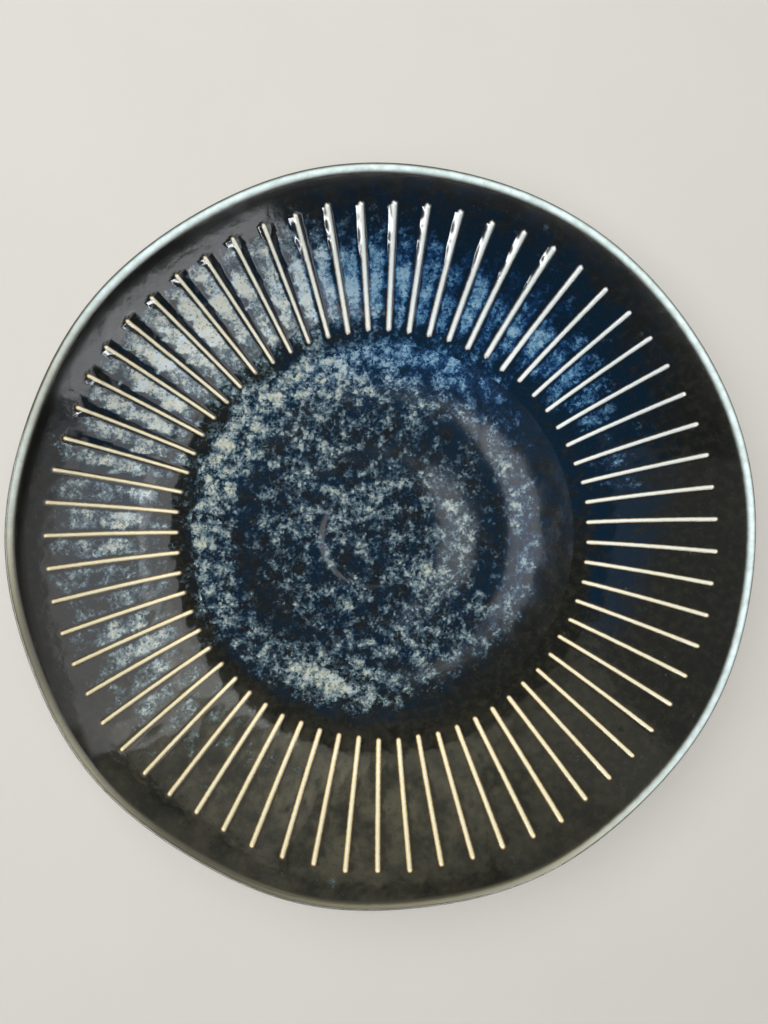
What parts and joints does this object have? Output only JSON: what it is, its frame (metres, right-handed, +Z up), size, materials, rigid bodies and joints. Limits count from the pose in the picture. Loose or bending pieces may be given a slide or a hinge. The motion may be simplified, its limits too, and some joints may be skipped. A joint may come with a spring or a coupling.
{
  "type": "plate",
  "caption": "Deep round stoneware plate with a flat well, raised radial ribs on the inside wall, a rounded lip and a turned foot, under dark mottled glaze.",
  "frame": {"origin": "centre of the foot ring, on the surface that the plate stands on", "axes": "+Z up out of the mouth; +X to the right and +Y to the top of the picture"},
  "size_m": [0.2123, 0.2119, 0.04],
  "materials": {
    "clay": "bare cream stoneware, fine sandy, glossed over on the ribs by thin glaze",
    "blue_glaze": "glossy deep blue glaze mottled with cream specks",
    "dark_glaze": "glossy olive black glaze, flecked with blue and cream on part of the inside",
    "pale_glaze": "glossy pale grey green glaze, thin and broken over the lip"
  },
  "bodies": {
    "root": {"stoneware_body": "clay", "well_glaze": "blue_glaze", "wall_glaze": "dark_glaze", "rim_glaze": "pale_glaze", "outside_glaze": "dark_glaze", "foot_recess_glaze": "dark_glaze"}
  },
  "joints": []
}
